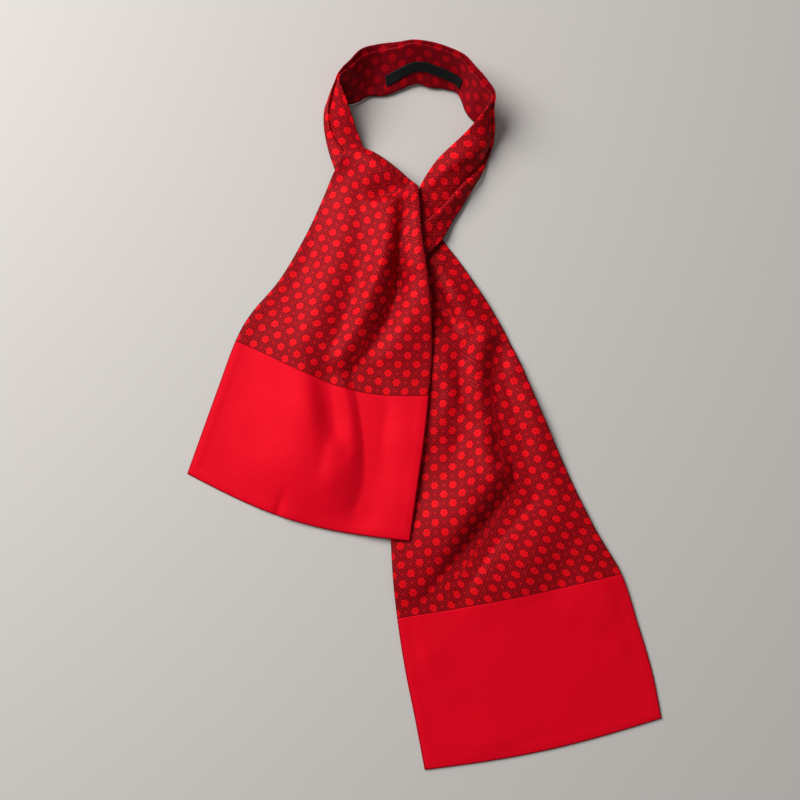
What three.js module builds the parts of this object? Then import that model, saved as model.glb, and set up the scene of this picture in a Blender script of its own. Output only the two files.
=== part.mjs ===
// Silk cravat laid on a floor and tied in a half knot, in millimetres.
// X runs to the right and Y away from the viewer, Z is up from the floor.
import * as THREE from 'three';

// Thickness of one wall of cloth, and of the ribbon of the label
const CLOTH_WALL = 1.4;
const LABEL_WALL = 1.0;
// Space left between two pieces that are sewn together or lie on each other
const SEAM_GAP = 0.3;

// Table of numbers with a name for each column, as a list of rows
function table(columns, ...rows) {
  return rows.map((row) => Object.fromEntries(columns.map((column, i) => [column, row[i]])));
}

// Steps of the grids, across a panel and from one section to the next
const BLADE_CELLS_ACROSS = 30;
const PRINT_STEPS = 4;
const END_STEPS = 3;
const NECK_STEPS = 2;
const NECK_CELLS_ACROSS = 6;

// Front blade: sections from the foot of its roll, over the roll, down to the hem.
// along is the length of cloth from the crest, lift is the height of the underside.
// bow is how far the section hangs below its chord, skew above 1 moves that to the right.
const FRONT_SECTIONS = table(
  ['along', 'leftX', 'leftY', 'rightX', 'rightY', 'bow', 'skew', 'liftLeft', 'liftMid', 'liftRight'],
  [-16, -52, 177, -2.4, 148.5, -8, 0.6, 9.5, 3.5, 10.2],
  [-8, -55, 181, -1.2, 152.5, -8, 0.6, 11, 10, 11.5],
  [0, -58.5, 175, -0.3, 146.5, -7, 0.6, 12, 15, 13],
  [14, -64, 166, 0.6, 133, -4, 0.8, 7, 13, 12.5],
  [40, -72, 147.5, 2, 115, 0, 1, 1.5, 10.5, 12],
  [70, -86, 117, 5.8, 88, 4, 1.2, 0, 9, 12.5],
  [100, -103.5, 86, 8.5, 58, 8, 1.3, 0, 7, 9.5],
  [130, -124, 60.5, 9, 28, 10, 1.3, 0, 4.2, 4],
  [155, -135, 40, 6.5, -1, 11.5, 1.3, 0, 4, 2.8],
  [190, -146.3, 7, 2.5, -36, 11, 1.2, 0, 5.6, 4.6],
  [225, -157.3, -26, -2.5, -71, 10.5, 1.1, 0, 5, 4.6],
  [258, -167.5, -57, -7.5, -105, 10, 1, 0, 1.5, 3],
);
const FRONT_SEAM_SECTION = 8;

// Rear blade: sections from the tongue under the right strand down to the hem
const REAR_SECTIONS = table(
  ['along', 'leftX', 'leftY', 'rightX', 'rightY', 'bow', 'skew', 'liftLeft', 'liftMid', 'liftRight'],
  [-10, -11, 125, 13, 129, 0, 1, 0, 0, 0],
  [0, -14, 114, 17, 117, 0, 1, 0, 0, 0.2],
  [26, -17, 89, 33, 94.5, 0, 1, 0, 4.2, 1.6],
  [63, -20, 53, 53, 63, 1, 1, 0, 5.4, 2],
  [104, -22, 12, 71.5, 27, 2, 1, 0, 3.5, 2],
  [150, -23, -34, 88.6, -15, 2, 1, 0, 3, 1],
  [195, -22, -79, 106, -57, 2, 1, 0, 2.8, 1],
  [240, -20, -124, 125, -97, 2, 1, 0, 2, 1.5],
  [275, -16.5, -159, 142.5, -128, 2, 1, 0, 1, 1],
  [310, -11, -194, 153, -162, 3, 1, 0, 0.5, 0.5],
  [345, -4, -228, 162, -195, 4, 1, 0, 0, 0.2],
  [378, 2.5, -261.5, 167.5, -227, 4.5, 1, 0, 0, 0],
);
const REAR_SEAM_SECTION = 8;

// Folds of the front blade, each along a curve through three points of the floor plan.
// A height above zero is a ridge, below zero a trough, given at the three points.
const FRONT_FOLDS = table(
  ['name', 'fromX', 'fromY', 'viaX', 'viaY', 'toX', 'toY',
    'heightFrom', 'heightVia', 'heightTo', 'leftWidth', 'rightWidth'],
  ['upper pleat groove', -10, 150, -14, 112, -15.5, 84, -0.8, -4.8, -10, 5, 8],
  ['lower pleat groove', -15.5, 84, -22, 60, -42, 23, -10, -7.5, -3.2, 6, 10],
  ['left ridge', -60, 140, -67, 88, -84, 38, 2.4, 4, 3, 11, 15],
  ['left valley', -42, 140, -47, 92, -62, 42, -2, -1.2, -1, 8, 7],
  ['middle crest', -22, 138, -29.5, 88, -57, 26, 2, 5.4, 3, 8, 7],
  ['crease below the roll', -42, 146, -28, 147, -11, 152, -3, -5.5, -4, 4, 11],
  ['ridge in the plain end', -86, 36, -80, -10, -77, -66, 2.5, 3, 1.8, 26, 11],
  ['trough beside the crest', -70, 12, -65, -16, -53, -38, -2, -3.4, -1.2, 9, 14],
  ['crest in the plain end', -61, 10, -56, -17, -49, -42, 0.3, 0.7, 0.2, 6, 7],
  ['trough in the plain end', -44, 12, -37, -37, -43, -80, -4.6, -5.8, -3.8, 9, 20],
  ['swell above the hem', -60, -44, -64, -60, -70, -76, 2, 2.6, 1.2, 14, 11],
);

// Folds of the rear blade
const REAR_FOLDS = table(
  ['name', 'fromX', 'fromY', 'viaX', 'viaY', 'toX', 'toY',
    'heightFrom', 'heightVia', 'heightTo', 'leftWidth', 'rightWidth'],
  ['upper ridge', 20, 98, 38, 64, 48, 42, 0.8, 2, 4.6, 7, 8],
  ['lower ridge', 48, 42, 43, 2, 51, -60, 4.4, 3.6, 6.8, 10, 8],
  ['diagonal ridge', 51, -60, 29, -90, -2, -134, 6.8, 9.2, 3.2, 24, 11],
  ['pocket beside the front blade', 3, 104, 12, 73, 23, 51, -1.6, -6.4, -3, 6, 8],
  ['fold over the pocket', 14, 93, 26, 73, 37, 50, 0.4, 3.4, 2.4, 9, 9],
  ['left ridge', 18, 20, 22, 0, 10, -32, 1, 1.5, 0.5, 6, 6],
  ['valley across the ridge', 28, 24, 31, 2, 43, -18, -1.4, -2.4, -2.4, 7, 7],
  ['left valley', 26, -20, 27, -32, 22, -48, -1, -2, -0.6, 6, 7],
  ['long valley', 56, 34, 60, -5, 73, -72, -2, -3, -3.4, 7, 8],
  ['diagonal trough', 72, -73, 47, -101, 14, -148, -4.5, -7, -4.2, 9, 9],
  ['right ridge', 70, 14, 83, -18, 100, -80, 1.5, 4.2, 2.4, 9, 12],
  ['ridge below the trough', 100, -88, 76, -118, 50, -140, 2.4, 3.6, 1.6, 16, 18],
  ['roll at the right edge', 118, -112, 128, -140, 138, -176, 1.4, 2.6, 0.6, 22, 12],
);

// The front blade climbs onto the rear blade between these two places
const SHELF_START_X = -62;
const SHELF_END_X = -25;
const SHELF_SLACK = 0.1;
const SHELF_HEIGHT = CLOTH_WALL + SEAM_GAP + SHELF_SLACK;

// Neck band: sections from its left end under the front blade, round the back, to its right end.
// The first edge is the upper one, the second the lower one, bulge rounds the outer face.
// outerTop is how far the outer ply starts below the upper edge, less than zero above it.
const NECK_SECTIONS = table(
  ['topX', 'topY', 'topZ', 'footX', 'footY', 'footZ', 'bulge', 'outerTop'],
  [-36, 174, 4, -60, 163, 0, 0.5, 11],
  [-41.5, 186, 5, -66, 180, 0, 1, 14],
  [-46.5, 198, 10, -69, 195, 0, 2, 18],
  [-50, 208, 16, -70, 207, 0, 2.5, 19],
  [-54.5, 220, 22, -69, 217, 0.3, 2, 17],
  [-58, 228, 26, -66, 222, 1.2, 1.5, 9],
  [-58.5, 232, 27.5, -60, 222.5, 2.2, 1, 1],
  [-55, 236, 27.5, -53, 221, 2.8, 1, -2],
  [-49, 242, 25, -46, 223, 2.6, 1.5, -3.5],
  [-41, 251, 22, -37.5, 227.5, 2.8, 2, -4.5],
  [-29, 256, 19.5, -25, 228.5, 2.8, 2, -4.5],
  [-17, 256.5, 23, -14, 233, 2.8, 2, -3.5],
  [-5, 257.5, 28, -2, 237.5, 2.6, 0.5, -1.5],
  [8, 254.5, 28.5, 8, 234.5, 2.6, 1.5, -2.5],
  [20, 250.5, 28.5, 18, 233.5, 2.6, 1.5, -2.5],
  [31, 245, 28.5, 27, 231, 2.4, 1.5, -2.5],
  [38, 235.5, 28, 31, 225.5, 2.4, 1.5, -4],
  [46, 226, 28.5, 35, 214.5, 2.2, 1, -3.5],
  [52.5, 217, 28.5, 42, 206.5, 1.8, 2, -1],
  [49, 209.5, 27, 50, 201.5, 1.2, 3, 6],
  [43, 203, 22, 53.5, 194, 0.5, 4, 16],
  [34.5, 194.5, 16, 51, 184, 0.1, 5.5, 23],
  [23.5, 184.5, 12.5, 45, 170, 0.1, 6, 25],
  [13.5, 175, 10.5, 37.5, 155.5, 0.1, 5.5, 24],
  [5.8, 164.5, 9.5, 30, 141.5, 0.2, 4, 23],
  [-0.6, 153, 8, 22.5, 128.5, 0.6, 2, 20.5],
  [-4, 142, 7.4, 15.5, 114.5, 3, 1, 15],
  [-9, 132, 5.6, 3, 101, 3.2, 0.3, 10],
);
const NECK_LEFT_CUT = 6;
const NECK_RIGHT_CUT = 18;
// Half of the gap at a cut, as a share of the step from one section to the next
const NECK_CUT_SHARE = 0.015;

// Label on the inner face at the back: its place along the band and down from the upper edge
const LABEL_FROM_SECTION = 10.1;
const LABEL_TO_SECTION = 15.4;
const LABEL_HEIGHT = 8;
const LABEL_MIDDLE_DOWN = 0.52;
const LABEL_ENDS_DOWN = 0.70;
const LABEL_STEPS = 14;

// Hidden layers of the knot: one rounded solid below the front blade, from the left end of the
// neck band to the tongue of the rear blade, flat below
const CORE_SECTIONS = table(
  ['upperX', 'upperY', 'lowerX', 'lowerY', 'height'],
  [-36.5, 173.2, -60, 162.3, 3],
  [-28, 167, -55, 149, 4.5],
  [-16, 157, -45, 134, 5.5],
  [-3, 144, -30, 122, 5],
  [12.7, 129.4, -11.1, 125.4, 1.6],
);
// Height of the rounded edge, as a share of the height in the middle
const CORE_EDGE_SHARE = 0.4;
const CORE_STEPS = 3;
const CORE_CELLS_ACROSS = 8;

// Colours
const PRINT_RED = 0xa01420;
const PLAIN_RED = 0xd8101f;
const LABEL_BLACK = 0x141414;
const SILK_ROUGHNESS = 0.5;
const LABEL_ROUGHNESS = 0.8;

// Points on the curve of a fold, how sharply one fold gives way to the next, and the height
// over which the cloth settles onto the floor
const FOLD_SAMPLES = 18;
const FOLD_BLEND = 4;
const LANDING = 1.2;
const SMALL = 1e-9;
// Small steps that measure slopes
const SLOPE_STEP = 0.004;
const NECK_SLOPE_STEP = 0.1;

function smoothStep(share) {
  const held = Math.min(1, Math.max(0, share));
  return held * held * (3 - 2 * held);
}

// Value of one column of a table at a fractional row, on a smooth curve through the rows
function columnAt(rows, column, place) {
  const last = rows.length - 1;
  const held = Math.min(last, Math.max(0, place));
  const row = Math.min(last - 1, Math.floor(held));
  const part = held - row;
  const before = rows[Math.max(0, row - 1)][column];
  const start = rows[row][column];
  const end = rows[row + 1][column];
  const after = rows[Math.min(last, row + 2)][column];
  const slope = (end - before) / 2;
  const bend = before - 2.5 * start + 2 * end - 0.5 * after;
  const twist = 1.5 * (start - end) + (after - before) / 2;
  return start + part * (slope + part * (bend + part * twist));
}

// Point of the curve through the three points of a fold
function foldPoint(fold, share) {
  const rest = 1 - share;
  const bendX = 2 * fold.viaX - (fold.fromX + fold.toX) / 2;
  const bendY = 2 * fold.viaY - (fold.fromY + fold.toY) / 2;
  return [
    rest * rest * fold.fromX + 2 * rest * share * bendX + share * share * fold.toX,
    rest * rest * fold.fromY + 2 * rest * share * bendY + share * share * fold.toY,
  ];
}

function oneFoldHeight(fold, x, y) {
  let nearest = Infinity;
  let nearestShare = 0;
  let side = 0;
  let [lastX, lastY] = foldPoint(fold, 0);
  for (let i = 1; i <= FOLD_SAMPLES; i += 1) {
    const [nextX, nextY] = foldPoint(fold, i / FOLD_SAMPLES);
    const runX = nextX - lastX;
    const runY = nextY - lastY;
    const dot = (x - lastX) * runX + (y - lastY) * runY;
    const part = Math.min(1, Math.max(0, dot / (runX * runX + runY * runY)));
    const awayX = x - lastX - part * runX;
    const awayY = y - lastY - part * runY;
    const away = Math.hypot(awayX, awayY);
    if (away < nearest) {
      nearest = away;
      nearestShare = (i - 1 + part) / FOLD_SAMPLES;
      side = (runX * awayY - runY * awayX) / Math.max(away * Math.hypot(runX, runY), SMALL);
    }
    lastX = nextX;
    lastY = nextY;
  }
  const width = fold.leftWidth + ((fold.rightWidth - fold.leftWidth) * (1 + side)) / 2;
  const first = nearestShare < 0.5 ? fold.heightFrom : fold.heightTo;
  const height = fold.heightVia + (first - fold.heightVia) * smoothStep(Math.abs(2 * nearestShare - 1));
  return height * Math.exp(-((nearest / width) ** 2));
}

// Ridges and troughs of a blade at one place: the highest ridge and the deepest trough count,
// with a soft change from one fold to the next
function foldHeight(folds, x, y) {
  let ridges = 0;
  let troughs = 0;
  for (const fold of folds) {
    const height = oneFoldHeight(fold, x, y);
    ridges += Math.max(height, 0) ** FOLD_BLEND;
    troughs += Math.max(-height, 0) ** FOLD_BLEND;
  }
  return ridges ** (1 / FOLD_BLEND) - troughs ** (1 / FOLD_BLEND);
}

// Height above the floor of cloth that would hang at lift, with a soft landing
function settled(lift) {
  const held = Math.max(0, lift);
  return held < LANDING ? (held * held) / (2 * LANDING) : held - LANDING / 2;
}

function liftAt(rows, place, across) {
  const left = columnAt(rows, 'liftLeft', place);
  const middle = columnAt(rows, 'liftMid', place);
  const right = columnAt(rows, 'liftRight', place);
  if (across < 0.5) {
    return left + (middle - left) * smoothStep(2 * across);
  }
  return middle + (right - middle) * smoothStep(2 * across - 1);
}

// Underside of a blade at a fractional section and a share of its width
function bladePoint(blade, place, across) {
  const leftX = columnAt(blade.sections, 'leftX', place);
  const leftY = columnAt(blade.sections, 'leftY', place);
  const runX = columnAt(blade.sections, 'rightX', place) - leftX;
  const runY = columnAt(blade.sections, 'rightY', place) - leftY;
  const width = Math.hypot(runX, runY);
  const skewed = Math.min(1, Math.max(0, across)) ** columnAt(blade.sections, 'skew', place);
  const bow = columnAt(blade.sections, 'bow', place) * Math.sin(Math.PI * skewed);
  const x = leftX + across * runX + (bow * runY) / width;
  const y = leftY + across * runY - (bow * runX) / width;
  const floor = blade.shelf * smoothStep((x - SHELF_START_X) / (SHELF_END_X - SHELF_START_X));
  const lift = liftAt(blade.sections, place, across) + foldHeight(blade.folds, x, y);
  return new THREE.Vector3(x, y, floor + settled(lift));
}

function neckEdge(edge, place) {
  const [x, y, z] = ['X', 'Y', 'Z'].map((axis) => columnAt(NECK_SECTIONS, edge + axis, place));
  return new THREE.Vector3(x, y, z);
}

// Inner face of the neck band at a fractional section and a share of the way down
function neckPoint(place, down) {
  const top = neckEdge('top', place);
  const foot = neckEdge('foot', place);
  const ahead = neckEdge('top', place + NECK_SLOPE_STEP).add(neckEdge('foot', place + NECK_SLOPE_STEP));
  const behind = neckEdge('top', place - NECK_SLOPE_STEP).add(neckEdge('foot', place - NECK_SLOPE_STEP));
  const out = ahead.sub(behind).setZ(0).cross(foot.clone().sub(top)).normalize();
  const round = Math.sin(Math.PI * Math.min(1, Math.max(0, down)));
  const bulge = columnAt(NECK_SECTIONS, 'bulge', place) * round;
  return top.lerp(foot, down).addScaledVector(out, bulge);
}

function neckWidth(place) {
  return neckPoint(place, 0).distanceTo(neckPoint(place, 1));
}

// Direction out of a surface, from two small steps on it
function surfaceNormal(pointAt, along, across) {
  const ahead = pointAt(along + SLOPE_STEP, across).sub(pointAt(along - SLOPE_STEP, across));
  const aside = pointAt(along, across + SLOPE_STEP).sub(pointAt(along, across - SLOPE_STEP));
  return aside.cross(ahead).normalize();
}

// Closed solid between a lower and an upper surface with the same grid
function closedWall(lowerAt, upperAt, alongSteps, acrossSteps) {
  const positions = [];
  const faces = [];
  const row = acrossSteps + 1;
  const layer = row * (alongSteps + 1);
  for (const pointAt of [lowerAt, upperAt]) {
    for (let i = 0; i <= alongSteps; i += 1) {
      for (let j = 0; j <= acrossSteps; j += 1) {
        const point = pointAt(i / alongSteps, j / acrossSteps);
        positions.push(point.x, point.y, point.z);
      }
    }
  }
  const quad = (a, b, c, d) => faces.push(a, b, c, a, c, d);
  for (let i = 0; i < alongSteps; i += 1) {
    for (let j = 0; j < acrossSteps; j += 1) {
      const low = i * row + j;
      const high = low + layer;
      quad(low, low + row, low + row + 1, low + 1);
      quad(high, high + 1, high + row + 1, high + row);
    }
  }
  for (let i = 0; i < alongSteps; i += 1) {
    const left = i * row;
    const right = left + acrossSteps;
    quad(left, left + layer, left + row + layer, left + row);
    quad(right, right + row, right + row + layer, right + layer);
  }
  for (let j = 0; j < acrossSteps; j += 1) {
    const end = alongSteps * row + j;
    quad(j, j + 1, j + 1 + layer, j + layer);
    quad(end, end + layer, end + 1 + layer, end + 1);
  }
  const geometry = new THREE.BufferGeometry();
  geometry.setAttribute('position', new THREE.Float32BufferAttribute(positions, 3));
  geometry.setIndex(faces);
  return geometry;
}

// Wall of cloth between a surface moved out by near and by far, both along its normal
function clothWall(pointAt, alongSteps, acrossSteps, near, far) {
  const movedOut = (offset) => (along, across) =>
    pointAt(along, across).addScaledVector(surfaceNormal(pointAt, along, across), offset);
  return closedWall(movedOut(near), movedOut(far), alongSteps, acrossSteps);
}

// Part of a blade from one section to another
function bladeWall(blade, fromSection, toSection, steps) {
  const run = toSection - fromSection;
  const pointAt = (along, across) => bladePoint(blade, fromSection + along * run, 1 - across);
  return clothWall(pointAt, steps, BLADE_CELLS_ACROSS, 0, CLOTH_WALL);
}

// Share of a step between two sections that is half of the seam's gap
function seamShare(sections, section) {
  const step = (sections[section + 1].along - sections[section - 1].along) / 2;
  return SEAM_GAP / 2 / step;
}

function neckInner(fromSection, toSection) {
  const run = toSection - fromSection;
  const pointAt = (along, across) => neckPoint(fromSection + along * run, 1 - across);
  const steps = Math.round((toSection - fromSection) * NECK_STEPS);
  return clothWall(pointAt, steps, NECK_CELLS_ACROSS, 0, CLOTH_WALL);
}

function neckOuter(fromSection, toSection) {
  const pointAt = (along, across) => {
    const place = fromSection + along * (toSection - fromSection);
    const start = columnAt(NECK_SECTIONS, 'outerTop', place) / neckWidth(place);
    return neckPoint(place, 1 - across * (1 - start));
  };
  const steps = Math.round((toSection - fromSection) * NECK_STEPS);
  const near = CLOTH_WALL + SEAM_GAP;
  return clothWall(pointAt, steps, NECK_CELLS_ACROSS, near, near + CLOTH_WALL);
}

function labelWall() {
  const pointAt = (along, across) => {
    const place = LABEL_FROM_SECTION + along * (LABEL_TO_SECTION - LABEL_FROM_SECTION);
    const bend = Math.abs(2 * along - 1);
    const middle = LABEL_MIDDLE_DOWN + (LABEL_ENDS_DOWN - LABEL_MIDDLE_DOWN) * bend;
    const half = LABEL_HEIGHT / 2 / neckWidth(place);
    return neckPoint(place, middle + half * (1 - 2 * across));
  };
  return clothWall(pointAt, LABEL_STEPS, 2, -SEAM_GAP - LABEL_WALL, -SEAM_GAP);
}

// Rounded solid of the hidden layers, with its flat underside on the floor
function knotCore() {
  const last = CORE_SECTIONS.length - 1;
  const lowerAt = (along, across) => {
    const place = along * last;
    const upperX = columnAt(CORE_SECTIONS, 'upperX', place);
    const upperY = columnAt(CORE_SECTIONS, 'upperY', place);
    const lowerX = columnAt(CORE_SECTIONS, 'lowerX', place);
    const lowerY = columnAt(CORE_SECTIONS, 'lowerY', place);
    const x = upperX + across * (lowerX - upperX);
    const y = upperY + across * (lowerY - upperY);
    return new THREE.Vector3(x, y, 0);
  };
  const upperAt = (along, across) => {
    const rise = CORE_EDGE_SHARE + (1 - CORE_EDGE_SHARE) * Math.sin(Math.PI * across);
    return lowerAt(along, across).setZ(columnAt(CORE_SECTIONS, 'height', along * last) * rise);
  };
  return closedWall(lowerAt, upperAt, last * CORE_STEPS, CORE_CELLS_ACROSS);
}

const cravat = new THREE.Group();
cravat.name = 'cravat';

function addPiece(name, geometry, color, roughness) {
  const material = new THREE.MeshStandardMaterial({ color, roughness, metalness: 0 });
  geometry.computeVertexNormals();
  const mesh = new THREE.Mesh(geometry, material);
  mesh.name = name;
  cravat.add(mesh);
}

const front = { sections: FRONT_SECTIONS, folds: FRONT_FOLDS, shelf: SHELF_HEIGHT };
const rear = { sections: REAR_SECTIONS, folds: REAR_FOLDS, shelf: 0 };
const frontGap = seamShare(FRONT_SECTIONS, FRONT_SEAM_SECTION);
const rearGap = seamShare(REAR_SECTIONS, REAR_SEAM_SECTION);
const frontHem = FRONT_SECTIONS.length - 1;
const rearHem = REAR_SECTIONS.length - 1;
const neckEnd = NECK_SECTIONS.length - 1;
const leftCut = [NECK_LEFT_CUT - NECK_CUT_SHARE, NECK_LEFT_CUT + NECK_CUT_SHARE];
const rightCut = [NECK_RIGHT_CUT - NECK_CUT_SHARE, NECK_RIGHT_CUT + NECK_CUT_SHARE];

const frontPrint = bladeWall(front, 0, FRONT_SEAM_SECTION - frontGap, FRONT_SEAM_SECTION * PRINT_STEPS);
const frontEndSteps = (frontHem - FRONT_SEAM_SECTION) * END_STEPS;
const frontEnd = bladeWall(front, FRONT_SEAM_SECTION + frontGap, frontHem, frontEndSteps);
const rearPrint = bladeWall(rear, 0, REAR_SEAM_SECTION - rearGap, REAR_SEAM_SECTION * PRINT_STEPS);
const rearEndSteps = (rearHem - REAR_SEAM_SECTION) * END_STEPS;
const rearEnd = bladeWall(rear, REAR_SEAM_SECTION + rearGap, rearHem, rearEndSteps);

addPiece('front_blade', frontPrint, PRINT_RED, SILK_ROUGHNESS);
addPiece('front_blade_end', frontEnd, PLAIN_RED, SILK_ROUGHNESS);
addPiece('rear_blade', rearPrint, PRINT_RED, SILK_ROUGHNESS);
addPiece('rear_blade_end', rearEnd, PLAIN_RED, SILK_ROUGHNESS);
addPiece('neck_left_inner', neckInner(0, leftCut[0]), PRINT_RED, SILK_ROUGHNESS);
addPiece('neck_back_inner', neckInner(leftCut[1], rightCut[0]), PRINT_RED, SILK_ROUGHNESS);
addPiece('neck_right_inner', neckInner(rightCut[1], neckEnd), PRINT_RED, SILK_ROUGHNESS);
addPiece('neck_left_outer', neckOuter(0, leftCut[0]), PRINT_RED, SILK_ROUGHNESS);
addPiece('neck_back_outer', neckOuter(leftCut[1], rightCut[0]), PRINT_RED, SILK_ROUGHNESS);
addPiece('neck_right_outer', neckOuter(rightCut[1], neckEnd), PRINT_RED, SILK_ROUGHNESS);
addPiece('label', labelWall(), LABEL_BLACK, LABEL_ROUGHNESS);
addPiece('knot_core', knotCore(), PRINT_RED, SILK_ROUGHNESS);

export default cravat;
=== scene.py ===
"""Silk cravat laid on a floor and tied in a half knot: shells of cloth on the solids of the frame.

Tables are in millimetres, X to the right, Y away from the viewer, Z up. Objects are in metres.
"""
import math

import bpy
import numpy as np
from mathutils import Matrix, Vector


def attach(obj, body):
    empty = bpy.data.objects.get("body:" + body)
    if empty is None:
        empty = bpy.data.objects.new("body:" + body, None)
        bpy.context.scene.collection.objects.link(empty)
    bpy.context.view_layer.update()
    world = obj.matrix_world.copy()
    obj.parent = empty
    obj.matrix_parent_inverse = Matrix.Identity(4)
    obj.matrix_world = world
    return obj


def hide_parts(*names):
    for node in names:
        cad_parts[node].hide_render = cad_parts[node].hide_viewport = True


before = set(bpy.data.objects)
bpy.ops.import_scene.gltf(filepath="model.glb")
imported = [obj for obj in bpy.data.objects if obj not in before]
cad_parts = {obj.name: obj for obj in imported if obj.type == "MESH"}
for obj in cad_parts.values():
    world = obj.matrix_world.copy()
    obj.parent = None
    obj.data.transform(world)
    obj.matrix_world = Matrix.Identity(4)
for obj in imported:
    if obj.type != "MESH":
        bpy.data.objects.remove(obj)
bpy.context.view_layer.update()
MM = 0.001

# Walls of cloth and ribbon, as in the solids
CLOTH_WALL = 1.4
LABEL_WALL = 1.0
SEAM_GAP = 0.3

# Cells of the grids of the shells
BLADE_CELL = 1.25
NECK_CELL = 1.1
LABEL_CELL = 0.8
CORE_CELL = 1.5

# Rounded edges: radius, rows close together on it as shares of it, and the least share of the wall
# that is left at a rim; a sewn edge dips by a share of the wall
EDGE_RADIUS = 0.8
EDGE_SHARES = np.array([0.0, 0.08, 0.3, 0.6])
RIM_FULLNESS = 0.15
SEAM_DIP = 0.3

# Steps that measure the length of a panel and the curve of a fold, and a length too small to divide by
MEASURED_PLACES = 600
FOLD_SAMPLES = 18
SMALL = 1e-9

# How strongly the highest fold wins over its neighbours, and the height over which cloth lands
FOLD_BLEND = 4
LANDING = 1.2


def table(columns, *rows):
    """Table of numbers, as an array for each named column."""
    return {column: np.array([row[i] for row in rows], float) for i, column in enumerate(columns)}


def named_rows(columns, *rows):
    """Table as a list of rows, each with its named values."""
    return [dict(zip(columns, row)) for row in rows]


SECTION_COLUMNS = (
    "left_x", "left_y", "right_x", "right_y", "bow", "skew", "lift_left", "lift_mid", "lift_right",
)

# Front blade: from the foot of its roll, over the roll, down to the hem
FRONT_SECTIONS = table(
    SECTION_COLUMNS,
    (-52, 177, -2.4, 148.5, -8, 0.6, 9.5, 3.5, 10.2),
    (-55, 181, -1.2, 152.5, -8, 0.6, 11, 10, 11.5),
    (-58.5, 175, -0.3, 146.5, -7, 0.6, 12, 15, 13),
    (-64, 166, 0.6, 133, -4, 0.8, 7, 13, 12.5),
    (-72, 147.5, 2, 115, 0, 1, 1.5, 10.5, 12),
    (-86, 117, 5.8, 88, 4, 1.2, 0, 9, 12.5),
    (-103.5, 86, 8.5, 58, 8, 1.3, 0, 7, 9.5),
    (-124, 60.5, 9, 28, 10, 1.3, 0, 4.2, 4),
    (-135, 40, 6.5, -1, 11.5, 1.3, 0, 4, 2.8),
    (-146.3, 7, 2.5, -36, 11, 1.2, 0, 5.6, 4.6),
    (-157.3, -26, -2.5, -71, 10.5, 1.1, 0, 5, 4.6),
    (-167.5, -57, -7.5, -105, 10, 1, 0, 1.5, 3),
)

# Rear blade: from the tongue under the right strand down to the hem
REAR_SECTIONS = table(
    SECTION_COLUMNS,
    (-11, 125, 13, 129, 0, 1, 0, 0, 0),
    (-14, 114, 17, 117, 0, 1, 0, 0, 0.2),
    (-17, 89, 33, 94.5, 0, 1, 0, 4.2, 1.6),
    (-20, 53, 53, 63, 1, 1, 0, 5.4, 2),
    (-22, 12, 71.5, 27, 2, 1, 0, 3.5, 2),
    (-23, -34, 88.6, -15, 2, 1, 0, 3, 1),
    (-22, -79, 106, -57, 2, 1, 0, 2.8, 1),
    (-20, -124, 125, -97, 2, 1, 0, 2, 1.5),
    (-16.5, -159, 142.5, -128, 2, 1, 0, 1, 1),
    (-11, -194, 153, -162, 3, 1, 0, 0.5, 0.5),
    (-4, -228, 162, -195, 4, 1, 0, 0, 0.2),
    (2.5, -261.5, 167.5, -227, 4.5, 1, 0, 0, 0),
)

# Sections at the seams of the plain ends, and at the hem of either blade
FRONT_SEAM = 8
REAR_SEAM = 8
BLADE_HEM = 11

FOLD_COLUMNS = (
    "name", "from_x", "from_y", "via_x", "via_y", "to_x", "to_y",
    "height_from", "height_via", "height_to", "left_width", "right_width",
)

# Folds of the solids, each along a curve through three points of the floor plan
FRONT_FOLDS = named_rows(
    FOLD_COLUMNS,
    ("upper pleat groove", -10, 150, -14, 112, -15.5, 84, -0.8, -4.8, -10, 5, 8),
    ("lower pleat groove", -15.5, 84, -22, 60, -42, 23, -10, -7.5, -3.2, 6, 10),
    ("left ridge", -60, 140, -67, 88, -84, 38, 2.4, 4, 3, 11, 15),
    ("left valley", -42, 140, -47, 92, -62, 42, -2, -1.2, -1, 8, 7),
    ("middle crest", -22, 138, -29.5, 88, -57, 26, 2, 5.4, 3, 8, 7),
    ("crease below the roll", -42, 146, -28, 147, -11, 152, -3, -5.5, -4, 4, 11),
    ("ridge in the plain end", -86, 36, -80, -10, -77, -66, 2.5, 3, 1.8, 26, 11),
    ("trough beside the crest", -70, 12, -65, -16, -53, -38, -2, -3.4, -1.2, 9, 14),
    ("crest in the plain end", -61, 10, -56, -17, -49, -42, 0.3, 0.7, 0.2, 6, 7),
    ("trough in the plain end", -44, 12, -37, -37, -43, -80, -4.6, -5.8, -3.8, 9, 20),
    ("swell above the hem", -60, -44, -64, -60, -70, -76, 2, 2.6, 1.2, 14, 11),
)
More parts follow.
